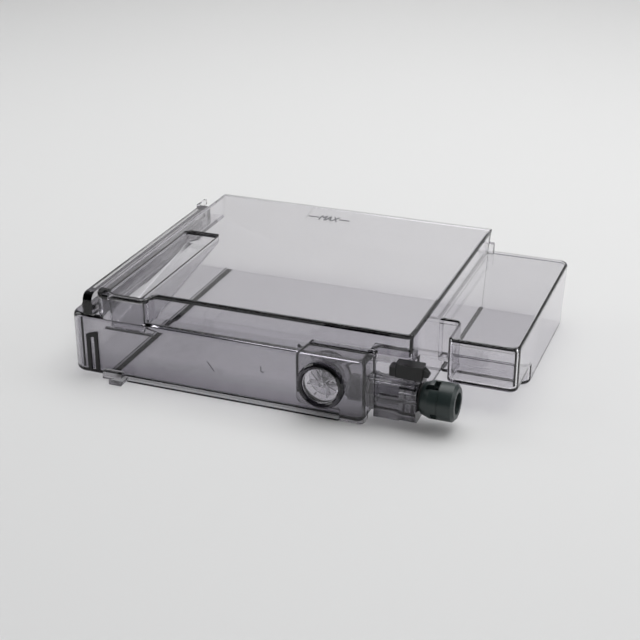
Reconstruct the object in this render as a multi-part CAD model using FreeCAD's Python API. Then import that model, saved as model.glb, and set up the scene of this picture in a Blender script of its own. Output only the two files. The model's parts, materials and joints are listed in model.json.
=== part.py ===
"""Removable water tank of a dehumidifier, lying on its large face.

X runs along the front edge, Y from the front to the rear, Z up. The tank is drawn from the corner
where the front and right edges of its cover meet, and moved at the end so that the origin is the
centre of the bottom of its bounding box. All sizes are in millimetres.
"""
import FreeCAD, Part
import math
import os
from FreeCAD import Vector

# Main container: its foot is wider than its cover, with a ledge at the front and at the left.
WALL = 2.4
FOOT_LEFT = -250.0
FOOT_FRONT = -13.4
LEDGE_Z = 45.5
LEDGE_EDGE = 4.0        # rounding of the ledge's outer edge
BODY_LEFT = -228.6
RIM_Z = 60.0
TANK_TOP = 63.0
REAR_LOW, REAR_HIGH = 191.5, 208.5      # the rear wall leans outwards from the floor to the cover
SEAM_GAP = 0.1          # line between two mouldings that are welded together

# Finger recess at the left of the cover.
GRIP_LEFT, GRIP_RIGHT = -221.5, -192.0
GRIP_FRONT, GRIP_REAR = -9.5, 120.5
GRIP_FRONT_Z, GRIP_REAR_Z = 34.0, 54.0
BROW_RIGHT = -188.5     # right end of the part of the cover that stands forward, over the recess

# Side compartment.
JOIN_X = 0.1            # face of the wing that is welded to the container's right wall
WING_LEFT, WING_RIGHT = 14.0, 63.4
WING_FRONT = 36.3
WING_STEP_Y = 76.0      # the underside steps down behind this line
WING_STEP_Z = 13.8
WING_SEAM_Z = 43.4      # the wing's top is a shallow lid
WING_GROOVE_Z = 29.0
WING_TOP = 47.2
WING_WALL = 2.2
WING_CORNER = 7.0       # radius of the wing's rear corner
POCKET_REAR = 66.0      # rear of the open pocket between container and wing

# Window in the container's right wall, through which both compartments fill together.
WINDOW_FRONT = WING_STEP_Y + WING_WALL
WINDOW_HIGH = 41.0

# Sight chamber with a flow wheel, in the front wall, its axis along Y.
CHAMBER_X, CHAMBER_Z = -57.3, 24.2
CHAMBER_R = 16.0
CHAMBER_FRONT, CHAMBER_REAR = -17.2, 3.0
LENS_R = 12.8
PIN_R = 1.24            # pin that the flow wheel turns on
HOUSING_LEFT, HOUSING_RIGHT = -75.0, -19.8
HOUSING_TOP = 54.0
HOUSING_FRONT = -16.4
TAB_LEFT, TAB_RIGHT = -44.0, -24.4      # tab that runs from the housing down to the floor

# Docking connector in the notch at the front right corner, its axis along X.
NOTCH_LEFT, NOTCH_REAR = -28.0, 15.0
DOCK_Y, DOCK_Z = -0.5, 19.8
DOCK_R = 13.0
CAP_LEFT, CAP_RIGHT = 9.2, 33.0
BARREL_START = 13.0     # plain docking barrel at the cap's free end, from the cap's left face
SPRING_SEAT_X = 12.4
PLUNGER_HEAD_X = 30.4

# Bounding box of the whole tank, which places the origin.
HOOK_FRONT = -25.5
COVER_LIP = 0.4         # the cover stands out past the container's walls
ORIGIN = Vector((FOOT_LEFT + WING_RIGHT) / 2, (HOOK_FRONT + REAR_HIGH + COVER_LIP) / 2, 0)

X_AXIS, Y_AXIS, Z_AXIS = Vector(1, 0, 0), Vector(0, 1, 0), Vector(0, 0, 1)


# Shape helpers ---------------------------------------------------------------------------------

def box(x0, x1, y0, y1, z0, z1):
    return Part.makeBox(x1 - x0, y1 - y0, z1 - z0, Vector(x0, y0, z0))


def rod(radius, start, axis, length):
    """Cylinder that starts at a point and runs along an axis."""
    return Part.makeCylinder(radius, length, start, axis)


def ring(outer, inner, start, axis, length):
    return rod(outer, start, axis, length).cut(rod(inner, start - axis, axis, length + 2))


def rounded_wire(corners):
    """Closed outline through (x, y, radius) corners, each rounded by a tangent arc."""
    points = [Vector(x, y, 0) for x, y, _ in corners]
    edges, starts, ends = [], [], []
    for i, (_, _, radius) in enumerate(corners):
        here, before, after = points[i], points[i - 1], points[(i + 1) % len(points)]
        back, ahead = (before - here).normalize(), (after - here).normalize()
        half = back.getAngle(ahead) / 2
        reach = radius / math.tan(half)
        first, last = here + back * reach, here + ahead * reach
        starts.append(first)
        ends.append(last)
        if radius > 0:
            inward = (back + ahead).normalize()
            middle = here + inward * (radius / math.sin(half) - radius)
            edges.append(Part.Arc(first, middle, last).toShape())
    for i, last in enumerate(ends):
        first = starts[(i + 1) % len(starts)]
        if (first - last).Length > 1e-6:
            edges.append(Part.LineSegment(last, first).toShape())
    return Part.Wire(Part.__sortEdges__(edges))


def prism(corners, z0, z1):
    face = Part.Face(rounded_wire(corners))
    face.translate(Vector(0, 0, z0))
    return face.extrude(Vector(0, 0, z1 - z0))


def plate_y(corners, y0, y1):
    """Prism of an (x, z, radius) outline, from y0 to y1."""
    solid = prism(corners, 0, y1 - y0)
    solid.rotate(Vector(0, 0, 0), X_AXIS, 90)
    solid.translate(Vector(0, y1, 0))
    return solid


def plate_x(corners, x0, x1):
    """Prism of a (y, z, radius) outline, from x0 to x1."""
    solid = prism(corners, 0, x1 - x0)
    solid.rotate(Vector(0, 0, 0), Vector(1, 1, 1), 120)
    solid.translate(Vector(x0, 0, 0))
    return solid


def rectangle(x0, x1, y0, y1, radius):
    return [(x0, y0, radius), (x1, y0, radius), (x1, y1, radius), (x0, y1, radius)]


def round_level(solid, z, radius):
    """Round every edge that lies level at height z."""
    level = [e for e in solid.Edges
             if abs(e.BoundBox.ZMin - z) < 1e-4 and abs(e.BoundBox.ZMax - z) < 1e-4]
    return solid.makeFillet(radius, level)


def before_rear(inset):
    """Everything in front of the leaning rear wall, moved in by an inset square to the wall."""
    lean = (REAR_HIGH - REAR_LOW) / TANK_TOP
    back = REAR_LOW - inset * math.hypot(1, lean)
    below, above = -5, TANK_TOP + 5
    side = [(-60, below, 0), (back + lean * below, below, 0), (back + lean * above, above, 0),
            (-60, above, 0)]
    return plate_x(side, FOOT_LEFT - 5, WING_RIGHT + 5)


def turned(profile, origin, axis):
    """Solid turned from a (distance along axis, radius) profile that starts and ends on the axis."""
    points = [Vector(radius, 0, along) for along, radius in profile]
    wire = Part.makePolygon(points + [points[0]])
    solid = Part.Face(wire).revolve(Vector(0, 0, 0), Z_AXIS, 360)
    solid.Placement = FreeCAD.Placement(origin, FreeCAD.Rotation(Z_AXIS, axis))
    return solid


def spring(radius, wire_radius, start, axis, length, turns):
    """Coil spring, its coils' ends just inside the length."""
    free = length - 2 * wire_radius
    path = Part.makeHelix(free / turns, free, radius)
    profile = Part.Wire(Part.makeCircle(wire_radius, Vector(radius, 0, 0), Y_AXIS))
    coil = Part.Wire(path).makePipeShell([profile], True, True)
    coil.translate(Vector(0, 0, wire_radius))
    coil.Placement = FreeCAD.Placement(start, FreeCAD.Rotation(Z_AXIS, axis)).multiply(coil.Placement)
    return coil


# Main container --------------------------------------------------------------------------------

REAR_LIMIT = REAR_HIGH + 10     # outlines run past the rear wall and are cut off by it


def foot_outline(inset):
    """Lower part of the container, with the connector's notch at its front right corner."""
    return [
        (FOOT_LEFT + inset, FOOT_FRONT + inset, 11 - inset),
        (NOTCH_LEFT - inset, FOOT_FRONT + inset, 5 - inset),
        (NOTCH_LEFT - inset, NOTCH_REAR + inset, 3 + inset),
        (-inset, NOTCH_REAR + inset, 5 - inset),
        (-inset, REAR_LIMIT, 0),
        (FOOT_LEFT + inset, REAR_LIMIT, 0),
    ]


def body_outline(inset):
    """Upper part of the container, under the cover. A brow stands forward over the recess."""
    return [
        (BODY_LEFT + inset, FOOT_FRONT + 0.6 + inset, 9 - inset),
        (BROW_RIGHT - inset, FOOT_FRONT + 0.6 + inset, 6 - inset),
        (BROW_RIGHT - inset, inset, 5 + inset),
        (-inset, inset, 4 - inset),
        (-inset, REAR_LIMIT, 0),
        (BODY_LEFT + inset, REAR_LIMIT, 0),
    ]


def main_shell():
    foot = prism(foot_outline(0), 0, LEDGE_Z).common(before_rear(0))
    foot = round_level(round_level(foot, LEDGE_Z, LEDGE_EDGE), 0, 2.5)
    body = prism(body_outline(0), LEDGE_Z - 2 * WALL, RIM_Z).common(before_rear(0))
    cavity = prism(foot_outline(WALL), WALL, LEDGE_Z - WALL).common(before_rear(WALL))
    cavity = round_level(cavity, WALL, 1.5)
    throat = prism(body_outline(WALL), LEDGE_Z - 2 * WALL, RIM_Z + 1).common(before_rear(WALL))
    notch_roof = box(NOTCH_LEFT - WALL, 1, -WALL, NOTCH_REAR + WALL, 0, LEDGE_Z)
    shell = foot.fuse(body).cut(cavity.fuse(throat.cut(notch_roof)))
    window = box(-WALL - 1, 1, WINDOW_FRONT, REAR_LIMIT, WALL, WINDOW_HIGH).common(before_rear(WALL))
    chamber_hole = rod(CHAMBER_R + 0.3, Vector(CHAMBER_X, FOOT_FRONT - 1, CHAMBER_Z), Y_AXIS, WALL + 3)
    tube_hole = rod(8.3, Vector(NOTCH_LEFT - WALL - 1, DOCK_Y, DOCK_Z), X_AXIS, WALL + 2)
    return shell.cut(window).cut(chamber_hole).cut(tube_hole).removeSplitter()


def grip_outline(inset):
    return [
        (GRIP_LEFT + inset, GRIP_FRONT + inset, 9 - inset),
        (GRIP_RIGHT - inset, GRIP_FRONT + inset, 3 - inset),
        (GRIP_RIGHT - inset, GRIP_REAR - inset, 4 - inset),
        (GRIP_LEFT + inset, GRIP_REAR - inset, 4 - inset),
    ]


def above_slope(lift):
    """Everything above the recess's sloping floor."""
    run = (GRIP_REAR_Z - GRIP_FRONT_Z) / (GRIP_REAR - GRIP_FRONT)
    y0, y1 = GRIP_FRONT - 10, GRIP_REAR + 10
    low, high = GRIP_FRONT_Z - 10 * run + lift, GRIP_REAR_Z + 10 * run + lift
    side = [(y0, low, 0), (y1, high, 0), (y1, 90, 0), (y0, 90, 0)]
    return plate_x(side, GRIP_LEFT - 5, GRIP_RIGHT + 5)


def round_floor(solid, radius):
    """Round the edges between the recess's sloping floor and its walls."""
    low = min(solid.Faces, key=lambda face: face.CenterOfMass.z)
    return solid.makeFillet(radius, low.Edges)


def grip_cup():
    """Finger recess, with a stiffening shelf along its lower front edge."""
    skin = 1.6
    outer = prism(grip_outline(0.1), 30, TANK_TOP - 0.3).common(above_slope(0))
    inner = prism(grip_outline(skin), 30, TANK_TOP + 1).common(above_slope(skin))
    cup = round_floor(outer, 4.0).cut(round_floor(inner, 2.6))
    shelf_front = FOOT_FRONT + WALL + SEAM_GAP
    low, high = GRIP_FRONT_Z + 2.2, GRIP_FRONT_Z + 3.6
    shelf = box(GRIP_LEFT, GRIP_RIGHT + 7.2, shelf_front, GRIP_FRONT + 1.0, low, high)
    return cup.fuse(shelf.cut(inner)).removeSplitter()


def top_cover():
    plate = prism(body_outline(-COVER_LIP), RIM_Z + SEAM_GAP, TANK_TOP).common(before_rear(-COVER_LIP))
    plate = round_level(plate, TANK_TOP, 1.3)
    return plate.cut(prism(grip_outline(0), RIM_Z - 1, TANK_TOP + 1)).removeSplitter()


def floor_baffle():
    """Low rib, stepped on its right side."""
    front, rear = FOOT_FRONT + WALL + 3, REAR_LOW - WALL - 1.5
    rib = box(-219.2, -218.2, front, rear, WALL, WALL + 1.8)
    shoulder = box(-218.2, -214.0, front, rear, WALL, WALL + 0.6)
    return rib.fuse(shoulder).removeSplitter()


# Side compartment ------------------------------------------------------------------------------

def wing_outline(inset, left):
    return [
        (WING_LEFT + inset, WING_FRONT + inset, 5 - inset),
        (WING_RIGHT - inset, WING_FRONT + inset, 6.5 - inset),
        (WING_RIGHT - inset, REAR_LIMIT, 0),
        (left, REAR_LIMIT, 0),
        (left, POCKET_REAR + inset, 0),
        (WING_LEFT + inset, POCKET_REAR + inset, 3 + inset),
    ]


def step_outline(inset, left):
    """Deep rear part of the wing."""
    return [
        (left, WING_STEP_Y + inset, 0),
        (WING_RIGHT - inset, WING_STEP_Y + inset, 8 - inset),
        (WING_RIGHT - inset, REAR_LIMIT, 0),
        (left, REAR_LIMIT, 0),
    ]


def wing_prism(corners, inset, z0, z1):
    """Prism of a wing outline, cut by the leaning rear wall and rounded at its rear right corner."""
    solid = prism(corners, z0, z1).common(before_rear(inset))
    side = WING_RIGHT - inset
    edge = [e for e in solid.Edges if e.BoundBox.XLength < 1e-4 and abs(e.BoundBox.XMax - side) < 1e-4
            and e.BoundBox.ZLength > z1 - z0 - 1e-3 and e.BoundBox.YMin > POCKET_REAR + 20]
    return solid.makeFillet(WING_CORNER - inset, edge)


def wing_shell():
    """Lower half of the wing. Its left side is open, against the container's right wall."""
    shallow = wing_prism(wing_outline(0, JOIN_X), 0, WING_STEP_Z, WING_SEAM_Z)
    deep = wing_prism(step_outline(0, JOIN_X), 0, 0, WING_SEAM_Z)
    outer = round_level(shallow, WING_STEP_Z, 2.0).fuse(round_level(deep, 0, 2.5))
    upper = wing_prism(wing_outline(WING_WALL, -1), WING_WALL, WING_STEP_Z + WING_WALL, WING_SEAM_Z + 1)
    lower = wing_prism(step_outline(WING_WALL, -1), WING_WALL, WING_WALL, WING_SEAM_Z + 1)
    upper, lower = round_level(upper, WING_STEP_Z + WING_WALL, 1.5), round_level(lower, WING_WALL, 1.5)
    groove = box(WING_LEFT + 6, WING_RIGHT - 7.5, WING_FRONT - 1, WING_FRONT + 0.4,
                 WING_GROOVE_Z, WING_GROOVE_Z + 0.7)
    return outer.cut(upper.fuse(lower)).cut(groove).removeSplitter()


def wing_cover():
    outer = wing_prism(wing_outline(0, JOIN_X), 0, WING_SEAM_Z + SEAM_GAP, WING_TOP)
    inner = wing_prism(wing_outline(WING_WALL, -1), WING_WALL, WING_SEAM_Z - 1, WING_TOP - WING_WALL)
    return round_level(outer, WING_TOP, 2.2).cut(inner).removeSplitter()


# Rails, ribs and marks ---------------------------------------------------------------------------

def side_rail():
    """Slide rail on the left ledge, grooved along its length."""
    bar = prism(rectangle(-244.6, -237.4, FOOT_FRONT + 9, 172, 2.6), LEDGE_Z + SEAM_GAP, 49.4)
    bar = round_level(bar, 49.4, 1.2)
    groove = box(-242.0, -240.2, FOOT_FRONT + 20, 164, 47.8, 52)
    return bar.cut(groove)


def side_collar():
    """Upper rail beside the cover, with a rounded nose."""
    low, high, front, rear = LEDGE_Z + SEAM_GAP, TANK_TOP - 0.6, FOOT_FRONT - 1.0, 178
    nose = [(front, low, 1.5), (rear, low, 1), (rear, high, 1), (front, high, 6.0)]
    bar = plate_x(nose, -236.4, -229.4)
    groove = box(-237, -234.4, FOOT_FRONT + 14, 172, 53.0, 57.6)
    return bar.cut(groove)


def corner_clip():
    """T-shaped clip on the cover's front left corner."""
    low, high = TANK_TOP + SEAM_GAP, TANK_TOP + 1.6
    head = box(-226.6, -219.8, -8.2, -4.6, low, high)
    stem = box(-224.6, -221.8, -12.4, -8.2, low, high)
    return head.fuse(stem).removeSplitter()


def rear_catch():
    """T-shaped catch on the ledge, behind the rails."""
    side = [(186, LEDGE_Z + SEAM_GAP, 0), (190, LEDGE_Z + SEAM_GAP, 0), (190, 56.8, 1), (195.6, 56.8, 1),
            (195.6, 61.0, 1), (180.4, 61.0, 1), (180.4, 56.8, 1), (186, 56.8, 1)]
    return plate_x(side, -241.2, -239.0)


def rear_tab():
    base = WING_TOP + SEAM_GAP
    return plate_x([(193.5, base, 0), (199, base, 0), (199, 56.0, 1.5), (193.5, 56.0, 1.5)], 0.6, 5.6)


def guide_ribs():
    """Two upright ribs joined by a slanted head, on the left of the front wall."""
    front, back = FOOT_FRONT - 1.8, FOOT_FRONT - SEAM_GAP
    frame = [(-235.4, 3, 1), (-226.6, 3, 1), (-226.6, 34.5, 1), (-235.4, 31.5, 1)]
    slot = [(-232.6, 1, 0), (-229.2, 1, 0), (-229.2, 30.5, 1), (-232.6, 29.4, 1)]
    return plate_y(frame, front, back).cut(plate_y(slot, front - 1, back + 1))


def bottom_rail():
    strip = box(-204.2, TAB_LEFT - 0.3, FOOT_FRONT - 3.6, FOOT_FRONT - SEAM_GAP, 0, 2.4)
    ends = [e for e in strip.Edges if e.BoundBox.YMax < FOOT_FRONT - 3 and e.BoundBox.XLength < 1e-6]
    return strip.makeFillet(1.0, ends)


def hook_foot():
    """Foot at the front left: a stepped block, and a toe that reaches forward and turns up."""
    back, middle = FOOT_FRONT - SEAM_GAP, FOOT_FRONT - 5.0
    block = [(back, 0, 0), (back, 6.0, 0), (back - 2.4, 6.0, 1), (middle, 3.4, 0.8), (middle, 0, 0.6)]
    toe = [(back, 0, 0), (back, 2.4, 0), (HOOK_FRONT + 2.2, 2.4, 0.6), (HOOK_FRONT + 1.8, 4.0, 0.6),
           (HOOK_FRONT, 4.0, 0.6), (HOOK_FRONT, 0, 1)]
    return plate_x(block, -222.4, -207.6).fuse(plate_x(toe, -213.6, -204.6)).removeSplitter()


def stroke(start, end, width):
    """One bar of the fill mark, lying on the cover."""
    along = (Vector(*end, 0) - Vector(*start, 0))
    side = Vector(-along.y, along.x, 0).normalize() * (width / 2)
    a, b = Vector(*start, TANK_TOP + 0.05), Vector(*end, TANK_TOP + 0.05)
    face = Part.Face(Part.makePolygon([a - side, b - side, b + side, a + side, a - side]))
    return face.extrude(Vector(0, 0, 0.35))


def fill_mark():
    """A dash, the word for the highest level in plain strokes, and a second dash."""
    low, high, weight = 179.0, 188.2, 0.9
    middle = (low + high) / 2
    strokes = [((-143.5, middle), (-134.5, middle)), ((-117.5, middle), (-109.0, middle))]
    m, a, x, width = -133.2, -127.9, -122.8, 4.2
    strokes += [((m, low), (m, high)), ((m, high), (m + width / 2, middle)),
                ((m + width / 2, middle), (m + width, high)), ((m + width, high), (m + width, low))]
    strokes += [((a, low), (a + width / 2, high)), ((a + width / 2, high), (a + width, low)),
                ((a + 0.9, middle - 1.2), (a + width - 0.9, middle - 1.2))]
    strokes += [((x, low), (x + width, high)), ((x, high), (x + width, low))]
    solids = [stroke(start, end, weight) for start, end in strokes]
    return solids[0].multiFuse(solids[1:]).removeSplitter()


# Sight chamber -----------------------------------------------------------------------------------

def chamber_point(y):
    return Vector(CHAMBER_X, y, CHAMBER_Z)


def chamber_housing():
    """Bracket over the chamber: a front plate that stands above the ledge, with a lip around its top."""
    back = FOOT_FRONT - SEAM_GAP
    outline = [(HOUSING_LEFT, 8, 5), (TAB_LEFT, 8, 1), (TAB_LEFT, 0.2, 0.5), (TAB_RIGHT, 0.2, 6),
               (TAB_RIGHT, 13.4, 2.5),
               (HOUSING_RIGHT, 13.4, 1), (HOUSING_RIGHT, HOUSING_TOP, 1),
               (HOUSING_LEFT + 9, HOUSING_TOP, 2), (HOUSING_LEFT, HOUSING_TOP - 9, 2)]
    plate = plate_y(outline, HOUSING_FRONT, back)
    roof = [(HOUSING_LEFT, LEDGE_Z + SEAM_GAP, 0), (HOUSING_RIGHT, LEDGE_Z + SEAM_GAP, 0),
            (HOUSING_RIGHT, HOUSING_TOP, 1), (HOUSING_LEFT + 9, HOUSING_TOP, 2),
            (HOUSING_LEFT, HOUSING_TOP - 9, 2)]
    hollow = [(HOUSING_LEFT + 2, LEDGE_Z - 1, 0), (HOUSING_RIGHT - 2, LEDGE_Z - 1, 0),
              (HOUSING_RIGHT - 2, HOUSING_TOP - 2, 0), (HOUSING_LEFT + 9.8, HOUSING_TOP - 2, 1),
              (HOUSING_LEFT + 2, HOUSING_TOP - 9.8, 1)]
    hood = plate_y(roof, back, FOOT_FRONT + 3.4).cut(plate_y(hollow, back + 0.5, 1))
    hole = rod(CHAMBER_R + 0.3, chamber_point(HOUSING_FRONT - 1), Y_AXIS, 8)
    cut_out = box(NOTCH_LEFT + 0.4, HOUSING_RIGHT + 1, HOUSING_FRONT + 2, back + 0.1, 0, 36)
    return plate.fuse(hood).cut(hole).cut(cut_out).removeSplitter()


def sight_chamber():
    """Cup with an inlet at its rear and an outlet at its right."""
    cup = rod(CHAMBER_R, chamber_point(CHAMBER_FRONT + 3), Y_AXIS, CHAMBER_REAR - CHAMBER_FRONT - 3)
    bore = rod(CHAMBER_R - 2, chamber_point(CHAMBER_FRONT), Y_AXIS, CHAMBER_REAR - CHAMBER_FRONT - 2)
    inlet = rod(8, chamber_point(CHAMBER_REAR - 3), Y_AXIS, 5)
    spokes = box(CHAMBER_X - 9, CHAMBER_X + 9, CHAMBER_REAR - 2, CHAMBER_REAR,
                 CHAMBER_Z - 1.2, CHAMBER_Z + 1.2)
    post = rod(2.6, chamber_point(CHAMBER_REAR - 4.5), Y_AXIS, 4.5)
    pin_hole = rod(PIN_R, chamber_point(CHAMBER_REAR - 5), Y_AXIS, 3.8)
    outlet = rod(5.5, Vector(CHAMBER_X, DOCK_Y - 4, DOCK_Z), X_AXIS, CHAMBER_R + 2)
    return cup.cut(bore).cut(inlet).fuse(spokes).fuse(post).cut(pin_hole).cut(outlet).removeSplitter()


def lens_ring():
    """Thick ring, crowned, with a flange that sits on the housing."""
    crown = turned([(0, 0), (0, CHAMBER_R + 0.8), (1.2, CHAMBER_R + 0.8), (2.6, CHAMBER_R - 0.2),
                    (3.0, CHAMBER_R - 1.2), (2.6, LENS_R + 0.8), (1.8, LENS_R + 0.1), (1.8, 0)],
                   chamber_point(HOUSING_FRONT - SEAM_GAP), -Y_AXIS)
    sleeve = rod(CHAMBER_R - 2.1, chamber_point(HOUSING_FRONT - 0.5), Y_AXIS, 4)
    hole = rod(LENS_R + 0.1, chamber_point(HOUSING_FRONT - 5), Y_AXIS, 12)
    return crown.fuse(sleeve).cut(hole).removeSplitter()


def lens():
    """Clear disc with a slightly raised middle."""
    return turned([(0, 0), (0, LENS_R), (1.8, LENS_R), (2.1, LENS_R - 0.4), (2.3, LENS_R - 3),
                   (2.3, 0)], chamber_point(HOUSING_FRONT + 1), -Y_AXIS)


def lens_seal():
    return Part.makeTorus(LENS_R + 0.5, 0.6, chamber_point(HOUSING_FRONT + 4.3), Y_AXIS)


def flow_wheel():
    """Hub with seven swept blades on a back plate, turned by the water that leaves the tank."""
    front, rear = HOUSING_FRONT + 3.0, HOUSING_FRONT + 10.0
    plate = rod(11.0, chamber_point(rear - 1.2), Y_AXIS, 1.2)
    hub = rod(3.0, chamber_point(front), Y_AXIS, rear - front)
    blade = box(2.6, 10.6, 0, rear - front - 1.0, -0.5, 0.5)
    blade.rotate(Vector(2.6, 0, 0), Y_AXIS, 24)
    solid = plate.fuse(hub)
    for i in range(7):
        vane = blade.copy()
        vane.rotate(Vector(0, 0, 0), Y_AXIS, i * 360 / 7)
        vane.translate(chamber_point(front))
        solid = solid.fuse(vane)
    return solid.cut(rod(PIN_R + 0.06, chamber_point(front - 1), Y_AXIS, 12)).removeSplitter()


def wheel_pin():
    return rod(PIN_R, chamber_point(HOUSING_FRONT + 3.4), Y_AXIS, CHAMBER_REAR - HOUSING_FRONT - 5.0)


def strainer():
    """Perforated disc over the chamber's inlet."""
    disc = rod(9.6, chamber_point(CHAMBER_REAR + SEAM_GAP), Y_AXIS, 1.2)
    for row in range(-3, 4):
        for column in range(-3, 4):
            x, z = column * 2.4 + (row % 2) * 1.2, row * 2.1
            if math.hypot(x, z) < 7.6:
                hole = rod(0.75, Vector(CHAMBER_X + x, CHAMBER_REAR - 1, CHAMBER_Z + z), Y_AXIS, 4)
                disc = disc.cut(hole)
    return disc


def discharge_tube():
    """Ribbed tube from the chamber's outlet to the notch wall."""
    start, end = CHAMBER_X + CHAMBER_R - 1.5, NOTCH_LEFT - WALL - SEAM_GAP
    tube = rod(7.2, Vector(start, DOCK_Y, DOCK_Z), X_AXIS, end - start)
    for i in range(4):
        tube = tube.fuse(rod(9.2, Vector(start + 2.4 + i * 2.2, DOCK_Y, DOCK_Z), X_AXIS, 1.0))
    bore = rod(5.2, Vector(start - 1, DOCK_Y, DOCK_Z), X_AXIS, end - start + 2)
    cup = rod(CHAMBER_R + SEAM_GAP, chamber_point(CHAMBER_FRONT), Y_AXIS, 40)
    return tube.cut(bore).cut(cup).removeSplitter()


# Docking connector -------------------------------------------------------------------------------

def dock_point(x):
    return Vector(x, DOCK_Y, DOCK_Z)


def outlet_flange():
    return ring(DOCK_R - 0.4, 5.2, dock_point(NOTCH_LEFT + 1.2), X_AXIS, 3.0)


def outlet_seal():
    return ring(DOCK_R - 1.4, 6.0, dock_point(NOTCH_LEFT + SEAM_GAP), X_AXIS, 1.0)


def connector_body():
    """Barrel with a broad foot below."""
    start, end = NOTCH_LEFT + 4.3, -4.2
    barrel = rod(11.8, dock_point(start), X_AXIS, end - start)
    foot = box(start + 1.5, end, DOCK_Y - 9.5, DOCK_Y + 9.5, 4.5, DOCK_Z - 4)
    return barrel.fuse(foot).cut(rod(5.2, dock_point(start - 1), X_AXIS, 30)).removeSplitter()


def connector_collar():
    """Square-shouldered collar that the cap's bayonet locks on."""
    start, end = -4.0, CAP_LEFT - 1.4
    block = plate_x(rectangle(DOCK_Y - 12, DOCK_Y + 12, DOCK_Z - 15, DOCK_Z + 12.4, 4), start, end)
    spout = rod(6.0, dock_point(end - 1), X_AXIS, 8.0)
    feed = rod(4.4, dock_point(start - 1), X_AXIS, SPRING_SEAT_X - start - 0.5)
    guide = rod(2.2, dock_point(start), X_AXIS, 30)
    spring_seat = rod(4.4, dock_point(SPRING_SEAT_X), X_AXIS, 10)
    return block.fuse(spout).cut(feed).cut(guide).cut(spring_seat).removeSplitter()


def valve_seal():
    return ring(DOCK_R - 3.4, DOCK_R - 5.4, dock_point(CAP_LEFT - 1.3), X_AXIS, 1.2)


def docking_cap():
    """Slotted cap with a tapered inner end, a docking barrel, a chamfered end and an open mouth."""
    length = CAP_RIGHT - CAP_LEFT
    outer = turned([(0, 0), (0, DOCK_R - 2.8), (0.8, DOCK_R - 2.0), (6.0, DOCK_R),
                    (BARREL_START - 0.8, DOCK_R), (BARREL_START - 0.8, DOCK_R - 0.4),
                    (BARREL_START, DOCK_R - 0.4), (BARREL_START, DOCK_R),
                    (length - 2, DOCK_R), (length, DOCK_R - 2.2), (length, 0)],
                   dock_point(CAP_LEFT), X_AXIS)
    bore = rod(8.2, dock_point(CAP_LEFT - 1), X_AXIS, length - 5)
    mouth = rod(7.6, dock_point(CAP_RIGHT - 8), X_AXIS, 10)
    cap = outer.cut(bore).cut(mouth)
    for angle in (25, 145, 265):
        slot = box(3.2, 12.0, -1.9, 1.9, 7, DOCK_R + 2).fuse(box(8.2, 12.0, -1.9, 7.0, 7, DOCK_R + 2))
        slot.rotate(Vector(0, 0, 0), X_AXIS, angle)
        slot.translate(dock_point(CAP_LEFT))
        cap = cap.cut(slot)
    return cap.removeSplitter()


def valve_plunger():
    """Mushroom plunger: a dished head in the cap's mouth and a stem that guides the spring."""
    return turned([(0, 0), (0.8, 1.8), (0, 2.4), (0, 6.6), (0.6, 7.3), (3.4, 7.3), (4.2, 5.4),
                   (4.2, 1.6), (13.8, 1.6), (13.8, 0)], dock_point(PLUNGER_HEAD_X), -X_AXIS)


def valve_spring():
    length = PLUNGER_HEAD_X - 4.3 - SPRING_SEAT_X
    return spring(3.0, 0.45, dock_point(SPRING_SEAT_X + 0.1), X_AXIS, length, 6)


# Latch -------------------------------------------------------------------------------------------

def latch_block():
    """Open-ended box above the connector, stepped at its left."""
    body = prism(rectangle(-8.2, 10.6, -9.6, -0.4, 1.2), 36.0, 45.6)
    step = prism(rectangle(-12.6, -7.2, -8.4, -0.4, 1.0), 36.0, 42.4)
    channel = box(-5.4, 14, -7.9, -2.1, 37.8, 43.8)
    return body.fuse(step).cut(channel).removeSplitter()


def latch_tongue():
    """Tongue with a sloping lead-in."""
    side = [(1.6, 38.2, 0.4), (14.4, 38.2, 0.8), (14.4, 40.2, 0.4), (11.6, 43.4, 0.4), (1.6, 43.4, 0.4)]
    return plate_y(side, -7.5, -2.5)


def latch_spring():
    return spring(1.7, 0.3, Vector(-5.3, -5.0, 40.8), X_AXIS, 6.8, 5)


PARTS = [
    main_shell, top_cover, grip_cup, floor_baffle, wing_shell, wing_cover, side_rail, side_collar,
    corner_clip, rear_catch, rear_tab, guide_ribs, bottom_rail, hook_foot, fill_mark, chamber_housing,
    sight_chamber, lens_ring, lens, lens_seal, flow_wheel, wheel_pin, strainer, discharge_tube,
    outlet_flange, outlet_seal, connector_body, connector_collar, valve_seal, docking_cap,
    valve_plunger, valve_spring, latch_block, latch_tongue, latch_spring,
]


def write_parts():
    os.makedirs("parts", exist_ok=True)
    for make in PARTS:
        shape = make()
        shape.translate(-ORIGIN)
        shape.exportStep(os.path.join("parts", make.__name__ + ".step"))
        size = shape.BoundBox
        print(f"{make.__name__:18s} solids {len(shape.Solids)} valid {shape.isValid()} "
              f"volume {shape.Volume / 1000:8.2f} cm3  x {size.XMin:7.1f} {size.XMax:7.1f}  "
              f"y {size.YMin:7.1f} {size.YMax:7.1f}  z {size.ZMin:6.1f} {size.ZMax:6.1f}")


write_parts()
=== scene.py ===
"""Looks of the dehumidifier water tank: smoke-clear plastic, dark fittings, pale studio floor."""
import json
import math

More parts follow.
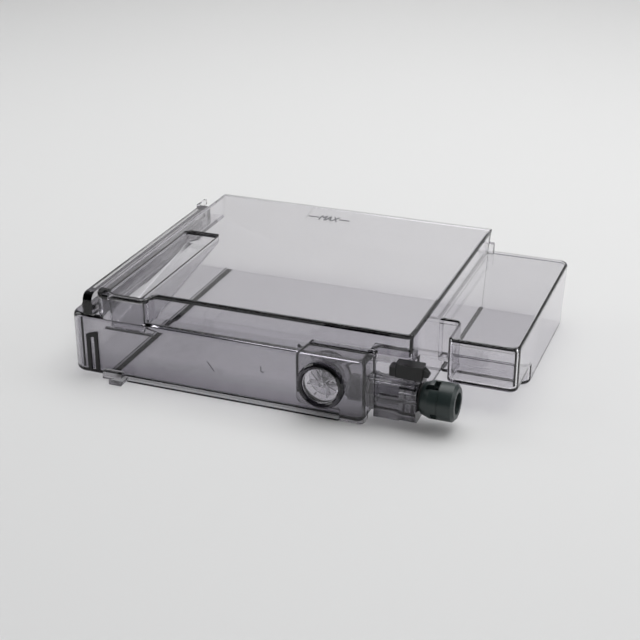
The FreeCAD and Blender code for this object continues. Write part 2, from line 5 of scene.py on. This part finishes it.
import bmesh
import bpy
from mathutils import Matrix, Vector


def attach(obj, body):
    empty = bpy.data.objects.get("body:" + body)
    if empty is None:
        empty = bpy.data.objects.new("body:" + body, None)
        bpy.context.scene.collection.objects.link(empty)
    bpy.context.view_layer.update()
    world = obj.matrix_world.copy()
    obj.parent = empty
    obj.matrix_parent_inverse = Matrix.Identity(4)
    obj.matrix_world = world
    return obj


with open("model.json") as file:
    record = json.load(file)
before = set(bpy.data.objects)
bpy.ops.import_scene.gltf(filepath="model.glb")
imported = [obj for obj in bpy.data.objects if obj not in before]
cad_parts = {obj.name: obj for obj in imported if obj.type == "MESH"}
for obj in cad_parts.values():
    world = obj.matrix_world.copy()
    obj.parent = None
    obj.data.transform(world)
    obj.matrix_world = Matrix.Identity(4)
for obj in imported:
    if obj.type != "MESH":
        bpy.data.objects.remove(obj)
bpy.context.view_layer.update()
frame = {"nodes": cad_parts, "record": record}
NODES = frame["nodes"]

MM = 0.001
COVER_CORNER = Vector((93.3, -91.7, 0.0))      # front right corner of the cover, in the row frame, in mm
FRONT_DEPTH = 13.4      # how far the foot stands in front of the cover's edge, in mm
PAINTED_SHADE_DEPTH = 24.0      # how far behind the cover's edge the painted shade on the front wall has faded out, in mm

PLASTIC_IOR = 1.49
FLOW_WAVE = 0.04        # strength of the waves that moulding leaves in clear plastic
SPARK_SCALE = 900.0     # fineness and strength of the spark-eroded texture of opaque plastic
SPARK_STRENGTH = 0.15
STEEL_GRAIN = (1, 60, 60)

EYE = Vector((320.1, -855.7, 443.3))            # camera, in the row frame, in mm
AZIMUTH, ELEVATION = 20.84, 24.89
FOCAL_LENGTH, SENSOR_WIDTH = 76.14, 36.0


# Node helpers ------------------------------------------------------------------------------------

def new_material(name):
    material = bpy.data.materials.new(name)
    material.use_nodes = True
    tree = material.node_tree
    tree.nodes.clear()
    output = tree.nodes.new("ShaderNodeOutputMaterial")
    return material, tree, output


def add(tree, kind, **values):
    """Add a node; values name its inputs, with _ for spaces, or its properties."""
    node = tree.nodes.new(kind)
    for key, value in values.items():
        socket = node.inputs.get(key.replace("_", " "))
        if socket is not None:
            socket.default_value = value
        else:
            setattr(node, key, value)
    return node


def object_coordinates(tree, scale=(1, 1, 1)):
    where = add(tree, "ShaderNodeTexCoord")
    mapping = add(tree, "ShaderNodeMapping")
    mapping.inputs["Scale"].default_value = scale
    tree.links.new(where.outputs["Object"], mapping.inputs["Vector"])
    return mapping.outputs["Vector"]


def noise(tree, vector, scale, detail=2.0, roughness=0.5):
    node = add(tree, "ShaderNodeTexNoise", Scale=scale, Detail=detail, Roughness=roughness)
    tree.links.new(vector, node.inputs["Vector"])
    return node.outputs["Fac"]


def ramp(tree, factor, low, high, start=0.3, end=0.7):
    """Map a 0 to 1 value onto a range."""
    node = add(tree, "ShaderNodeMapRange")
    node.inputs["From Min"].default_value = start
    node.inputs["From Max"].default_value = end
    node.inputs["To Min"].default_value = low
    node.inputs["To Max"].default_value = high
    tree.links.new(factor, node.inputs["Value"])
    return node.outputs["Result"]


def bump(tree, height, strength, distance):
    node = add(tree, "ShaderNodeBump", Strength=strength, Distance=distance)
    tree.links.new(height, node.inputs["Height"])
    return node.outputs["Normal"]


# Materials ---------------------------------------------------------------------------------------

def front_painted_shade(tree, front, middle):
    """Painted shade: a tint deepest in the front of the foot, less in the wall behind it and faint further
    back, darkening the front beyond the plastic's own tint.
    """
    where = add(tree, "ShaderNodeTexCoord")
    split = add(tree, "ShaderNodeSeparateXYZ")
    tree.links.new(where.outputs["Object"], split.inputs[0])
    blend = add(tree, "ShaderNodeValToRGB")
    y_foot = (COVER_CORNER.y - FRONT_DEPTH) * MM
    y_shade_faded = (COVER_CORNER.y + PAINTED_SHADE_DEPTH) * MM
    tree.links.new(ramp(tree, split.outputs["Y"], 0.0, 1.0, y_foot, y_shade_faded), blend.inputs["Fac"])
    stops = blend.color_ramp.elements
    stops[0].position, stops[0].color = 0.05, (*front, 1)
    stops[1].position, stops[1].color = 1.0, (*CLEAR_TINT, 1)
    wall = stops.new(0.36)
    wall.color = (*middle, 1)
    return blend.outputs["Color"]


def clear_plastic(name, tint, shade, smoke, density, rough=0.02, ior=PLASTIC_IOR, front=None):
    """Transparent moulded plastic: faint flow waves and finger haze, darker where it is thicker.

    Lamps and bounced light pass straight through, dimmed by shade. front paints shade on its front wall as
    a deeper tint.
    """
    material, tree, output = new_material(name)
    vector = object_coordinates(tree)
    flow = noise(tree, vector, 14.0, 1.0)
    haze = noise(tree, vector, 55.0, 4.0, 0.6)
    plastic = add(tree, "ShaderNodeBsdfPrincipled", Base_Color=(*tint, 1), IOR=ior)
    plastic.inputs["Transmission Weight"].default_value = 1.0
    # Painted shade: the front wall's tint deepens towards the front.
    if front is not None:
        tree.links.new(front_painted_shade(tree, *front), plastic.inputs["Base Color"])
    tree.links.new(ramp(tree, haze, rough * 0.25, rough * 1.4), plastic.inputs["Roughness"])
    tree.links.new(bump(tree, flow, FLOW_WAVE, 0.004), plastic.inputs["Normal"])
    path = add(tree, "ShaderNodeLightPath")
    surface = plastic
    for ray in ("Is Diffuse Ray", "Is Shadow Ray"):
        through = add(tree, "ShaderNodeBsdfTransparent", Color=(*shade, 1))
        mix = add(tree, "ShaderNodeMixShader")
        tree.links.new(path.outputs[ray], mix.inputs[0])
        tree.links.new(surface.outputs[0], mix.inputs[1])
        tree.links.new(through.outputs[0], mix.inputs[2])
        surface = mix
    tree.links.new(surface.outputs[0], output.inputs["Surface"])
    absorption = add(tree, "ShaderNodeVolumeAbsorption", Color=(*smoke, 1), Density=density)
    tree.links.new(absorption.outputs[0], output.inputs["Volume"])
    return material


def moulded_plastic(name, colour, roughness, specular=0.5):
    """Opaque moulded plastic: fine spark texture, and a slight drift of colour and shine."""
    material, tree, output = new_material(name)
    vector = object_coordinates(tree)
    drift = noise(tree, vector, 60.0, 3.0)
    spark = noise(tree, vector, SPARK_SCALE, 2.0)
    dark = tuple(c * 0.82 for c in colour)
    light = tuple(min(1.0, c * 1.2 + 0.004) for c in colour)
    blend = add(tree, "ShaderNodeMix", data_type="RGBA")
    blend.inputs[6].default_value = (*dark, 1)
    blend.inputs[7].default_value = (*light, 1)
    tree.links.new(drift, blend.inputs[0])
    plastic = add(tree, "ShaderNodeBsdfPrincipled", IOR=1.5)
    plastic.inputs["Specular IOR Level"].default_value = specular
    tree.links.new(blend.outputs[2], plastic.inputs["Base Color"])
    tree.links.new(ramp(tree, drift, roughness * 0.85, roughness * 1.2), plastic.inputs["Roughness"])
    tree.links.new(bump(tree, spark, SPARK_STRENGTH, 0.0004), plastic.inputs["Normal"])
    tree.links.new(plastic.outputs[0], output.inputs["Surface"])
    return material


def metal(name, colour, roughness):
    """Drawn or ground metal, its grain along X."""
    material, tree, output = new_material(name)
    grain = noise(tree, object_coordinates(tree, STEEL_GRAIN), 90.0, 3.0)
    steel = add(tree, "ShaderNodeBsdfPrincipled", Base_Color=(*colour, 1), Metallic=1.0)
    tree.links.new(ramp(tree, grain, roughness * 0.7, roughness * 1.4), steel.inputs["Roughness"])
    tree.links.new(bump(tree, grain, 0.1, 0.0002), steel.inputs["Normal"])
    tree.links.new(steel.outputs[0], output.inputs["Surface"])
    return material


CLEAR_TINT = (0.985, 0.98, 0.99)
# Painted shade: deeper tints for the front of the foot and the wall behind it.
FRONT_PAINTED_SHADES = ((0.54, 0.53, 0.56), (0.66, 0.65, 0.68))
BODY_SHADE, FITTING_SHADE = (0.945, 0.943, 0.95), (0.93, 0.93, 0.93)
VIOLET_GREY, FAINT_GREY, DARK_GREY = (0.06, 0.0, 0.14), (0.05, 0.03, 0.07), (0.04, 0.02, 0.07)

SMOKE = clear_plastic("smoke_clear", CLEAR_TINT, BODY_SHADE, VIOLET_GREY, 14.0)
# The body's front wall is darkened with painted shade, a tint deeper than the plastic's own.
SMOKE_BODY = clear_plastic("smoke_body", CLEAR_TINT, BODY_SHADE, VIOLET_GREY, 12.0, front=FRONT_PAINTED_SHADES)
SMOKE_RAIL = clear_plastic("smoke_rail", (0.90, 0.898, 0.905), FITTING_SHADE, FAINT_GREY, 38.0)
SMOKE_HOUSING = clear_plastic("smoke_housing", (0.80, 0.797, 0.81), FITTING_SHADE, FAINT_GREY, 60.0)
SMOKE_DARK = clear_plastic("smoke_dark", (0.70, 0.70, 0.71), FITTING_SHADE, DARK_GREY, 60.0)
SMOKE_BLACK = clear_plastic("smoke_black", (0.40, 0.40, 0.41), (0.6, 0.6, 0.6), (0.03, 0.0, 0.08), 500.0)
SMOKE_WING = clear_plastic("smoke_wing", (0.955, 0.95, 0.962), (0.935, 0.933, 0.94), VIOLET_GREY, 20.0)
SMOKE_CUP = clear_plastic("smoke_cup", (0.86, 0.855, 0.87), FITTING_SHADE, FAINT_GREY, 20.0, rough=0.12)
SMOKE_RIB = clear_plastic("smoke_rib", (0.95, 0.947, 0.955), (0.95, 0.95, 0.95), FAINT_GREY, 10.0, ior=1.2)
LENS = clear_plastic("lens_clear", (0.84, 0.835, 0.85), FITTING_SHADE, VIOLET_GREY, 10.0)
CAP = moulded_plastic("cap_green_grey", (0.020, 0.030, 0.029), 0.34)
BLACK = moulded_plastic("black_plastic", (0.0045, 0.0045, 0.005), 0.34, specular=0.4)
MARK = moulded_plastic("mark_grey", (0.10, 0.10, 0.11), 0.45)
# Painted shade: near-black for the dark lines that the edges show by refraction.
EDGE_PAINTED_SHADE = moulded_plastic("edge_shadow_black", (0.004, 0.004, 0.0045), 0.22)
SCRIBE = moulded_plastic("scribe_grey", (0.30, 0.30, 0.31), 0.5)
RUBBER = moulded_plastic("seal_rubber", (0.012, 0.012, 0.012), 0.62, specular=0.35)
STEEL = metal("steel", (0.62, 0.62, 0.63), 0.22)

LOOKS = {
    "smoke_clear": SMOKE, "smoke_dark": SMOKE_DARK, "smoke_black": SMOKE_BLACK, "lens_clear": LENS,
    "cap_green_grey": CAP, "black_plastic": BLACK, "mark_grey": MARK, "steel": STEEL, "spring_steel": STEEL,
    "seal_rubber": RUBBER,
}
NODE_LOOKS = {
    "main_shell": SMOKE_BODY, "side_rail": SMOKE_RAIL, "side_collar": SMOKE_RAIL, "hook_foot": SMOKE_RAIL,
    "bottom_rail": SMOKE_RAIL, "chamber_housing": SMOKE_HOUSING, "wing_shell": SMOKE_WING,
    "wing_cover": SMOKE_WING, "grip_cup": SMOKE_CUP, "floor_baffle": SMOKE_RIB,
    "guide_ribs": BLACK,
}
for part in frame["record"]["subparts"]:
    mesh = NODES[part["node"]].data
    mesh.materials.clear()
    mesh.materials.append(NODE_LOOKS.get(part["node"], LOOKS[part["material_slot"]]))


# Details and painted edge shade -------------------------------------------------------------------

def softened(points, reach):
    """Path with its inner corners rounded."""
    path = [points[0]]
    for before, here, after in zip(points, points[1:], points[2:]):
        start = here + (before - here).normalized() * min(reach, (before - here).length / 2)
        end = here + (after - here).normalized() * min(reach, (after - here).length / 2)
        for i in range(7):
            t = i / 6
            path.append(start * (1 - t) ** 2 + here * 2 * t * (1 - t) + end * t ** 2)
    return path + [points[-1]]


def bead(name, corners, radius, material, reach=3.0):
    """Thin round bead along (x, y, z) corners, in mm from the cover's front right corner."""
    curve = bpy.data.curves.new(name, "CURVE")
    curve.dimensions = "3D"
    curve.bevel_depth = radius * MM
    curve.bevel_resolution = 3
    curve.use_fill_caps = True
    path = softened([Vector(corner) for corner in corners], reach)
    line = curve.splines.new("POLY")
    line.points.add(len(path) - 1)
    for point, place in zip(line.points, path):
        point.co = (*((place + COVER_CORNER) * MM), 1)
    draft = bpy.data.objects.new(name + "_path", curve)
    mesh = bpy.data.meshes.new_from_object(draft)
    bpy.data.objects.remove(draft)
    for face in mesh.polygons:
        face.use_smooth = True
    mesh.materials.clear()
    mesh.materials.append(material)
    piece = bpy.data.objects.new(name, mesh)
    bpy.context.scene.collection.objects.link(piece)
    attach(piece, "tank")


def make_painted_edge_shade():
    """Painted shade: dark beads inside the plastic along the edges that face the front, standing in for the
    dark lines that these rounded edges show by refraction.
    """
    z = 61.8            # within the cover's thickness
    bead("cover_edge_painted_shade", [(-213.5, -12.0, z), (-191.0, -12.0, z), (-187.2, 0.9, z), (-1.6, 0.9, z),
                             (-0.8, 12.0, z)], 1.1, EDGE_PAINTED_SHADE)
    bead("recess_edge_painted_shade", [(-218.8, 121.6, z), (-194.2, 121.6, z)], 0.8, EDGE_PAINTED_SHADE)
    bead("wing_edge_painted_shade", [(17.0, 37.9, 45.4), (57.0, 37.9, 45.4), (60.9, 39.4, 45.0), (60.9, 39.0, 40.0),
                            (60.9, 38.9, 18.5)], 0.75, EDGE_PAINTED_SHADE, 3.5)
    bead("ledge_edge_painted_shade", [(-236.0, -11.3, 43.4), (-76.5, -11.3, 43.4)], 0.35, EDGE_PAINTED_SHADE)
    bead("foot_corner_painted_shade", [(-239.4, -12.3, 4.5), (-239.4, -12.3, 42.5)], 0.8, EDGE_PAINTED_SHADE)
    bead("front_base_painted_shade", [(-214.0, -12.2, 1.3), (-46.0, -12.2, 1.3)], 0.7, EDGE_PAINTED_SHADE)
    bead("shelf_painted_shade", [(-220.8, -10.2, 36.9), (-185.6, -10.2, 36.9)], 0.6, EDGE_PAINTED_SHADE)
    bead("wall_corner_painted_shade", [(-1.5, 1.6, 47.0), (-1.5, 1.6, 59.0)], 0.5, EDGE_PAINTED_SHADE)
    bead("wing_corner_painted_shade", [(15.7, 38.0, 17.5), (15.7, 38.0, 42.5)], 0.55, EDGE_PAINTED_SHADE)
    bead("housing_painted_shade", [(-74.2, -15.0, 16.0), (-74.2, -15.0, 44.6), (-66.2, -15.0, 52.9),
                          (-24.0, -15.0, 52.9)], 0.7, EDGE_PAINTED_SHADE, 2.0)
    bead("housing_end_painted_shade", [(-20.6, -15.0, 39.0), (-20.6, -15.0, 52.0)], 0.5, EDGE_PAINTED_SHADE)


def make_marks():
    """Moulded marks on the front wall and a scribed line on the cover."""
    bead("front_mark_slash", [(-142.1, -13.45, 25.8), (-137.1, -13.45, 19.0)], 0.35, MARK)
    bead("front_mark_corner", [(-101.8, -13.45, 29.0), (-101.8, -13.45, 24.9), (-99.4, -13.45, 25.1)],
         0.3, MARK, 0.5)
    bead("cover_scribe", [(-144.0, 176.2, 63.0), (-147.2, 204.4, 63.0)], 0.16, SCRIBE)


make_painted_edge_shade()
make_marks()


# Stage, light and camera ---------------------------------------------------------------------------

def make_floor():
    """Pale sweep: a floor that curves up into a wall behind."""
    plan = bmesh.new()
    half, front, bend, wall, radius, steps = 3.0, -2.6, 1.5, 2.2, 0.9, 16
    floor_z = -0.0004   # just under the tank's feet
    rows = [(front, floor_z), (bend, floor_z)]
    for i in range(1, steps + 1):
        angle = math.radians(90 * i / steps)
        rows.append((bend + radius * math.sin(angle), radius - radius * math.cos(angle)))
    rows.append((bend + radius, wall))
    pairs = [(plan.verts.new((-half, y, z)), plan.verts.new((half, y, z))) for y, z in rows]
    for (a, b), (c, d) in zip(pairs, pairs[1:]):
        plan.faces.new((a, b, d, c))
    mesh = bpy.data.meshes.new("studio_floor")
    plan.to_mesh(mesh)
    plan.free()
    for face in mesh.polygons:
        face.use_smooth = True
    floor = bpy.data.objects.new("studio_floor", mesh)
    bpy.context.scene.collection.objects.link(floor)
    material, tree, output = new_material("studio_paper")
    paper = add(tree, "ShaderNodeBsdfPrincipled", Base_Color=(0.72, 0.72, 0.715, 1), Roughness=0.9)
    tree.links.new(paper.outputs[0], output.inputs["Surface"])
    mesh.materials.append(material)


def area_light(name, location, target, size, power, seen=True):
    """Soft lamp. One that isn't seen lights the floor but is in no reflection and behind no clear part."""
    light = bpy.data.lights.new(name, "AREA")
    light.shape = "RECTANGLE"
    light.size, light.size_y = size
    light.energy = power
    holder = bpy.data.objects.new(name, light)
    holder.location = location
    holder.rotation_euler = (Vector(target) - Vector(location)).to_track_quat("-Z", "Y").to_euler()
    holder.visible_glossy = seen
    holder.visible_transmission = seen
    bpy.context.scene.collection.objects.link(holder)


def make_world():
    """Dim room, darkest behind the camera and lightest behind the tank."""
    world = bpy.data.worlds.new("studio_room")
    bpy.context.scene.world = world
    world.use_nodes = True
    tree = world.node_tree
    background = tree.nodes["Background"]
    background.inputs["Color"].default_value = (0.92, 0.94, 1.0, 1)
    where = add(tree, "ShaderNodeTexCoord")
    split = add(tree, "ShaderNodeSeparateXYZ")
    tree.links.new(where.outputs["Generated"], split.inputs[0])
    level = ramp(tree, split.outputs["Y"], 0.01, 0.32, -0.35, 0.5)
    tree.links.new(level, background.inputs["Strength"])


def make_camera():
    """Camera to the right of the front, 25 degrees above the floor."""
    azimuth, elevation = math.radians(AZIMUTH), math.radians(ELEVATION)
    ahead = Vector((-math.sin(azimuth) * math.cos(elevation), math.cos(azimuth) * math.cos(elevation),
                    -math.sin(elevation)))
    lens = bpy.data.cameras.new("camera")
    lens.sensor_width = SENSOR_WIDTH
    lens.lens = FOCAL_LENGTH
    camera = bpy.data.objects.new("camera", lens)
    camera.location = EYE * MM
    camera.rotation_euler = ahead.to_track_quat("-Z", "Y").to_euler()
    bpy.context.scene.collection.objects.link(camera)
    bpy.context.scene.camera = camera


make_floor()
make_world()
area_light("top_softbox", (0.15, 0.35, 1.35), (0, 0, 0), (1.6, 1.2), 15.5)
area_light("left_softbox", (-1.3, -0.1, 0.8), (0, 0, 0), (0.8, 0.9), 4.6)
area_light("right_softbox", (1.3, 0.3, 0.7), (0, 0, 0), (0.8, 0.9), 3.8)
area_light("wall_light", (0.0, 1.1, 1.6), (0, 2.2, 0.5), (3.6, 0.6), 19)
area_light("front_fill", (0.5, -1.3, 0.9), (0.05, 0, 0), (1.2, 0.8), 6.0, seen=False)
make_camera()
bpy.context.scene.view_settings.view_transform = "Standard"
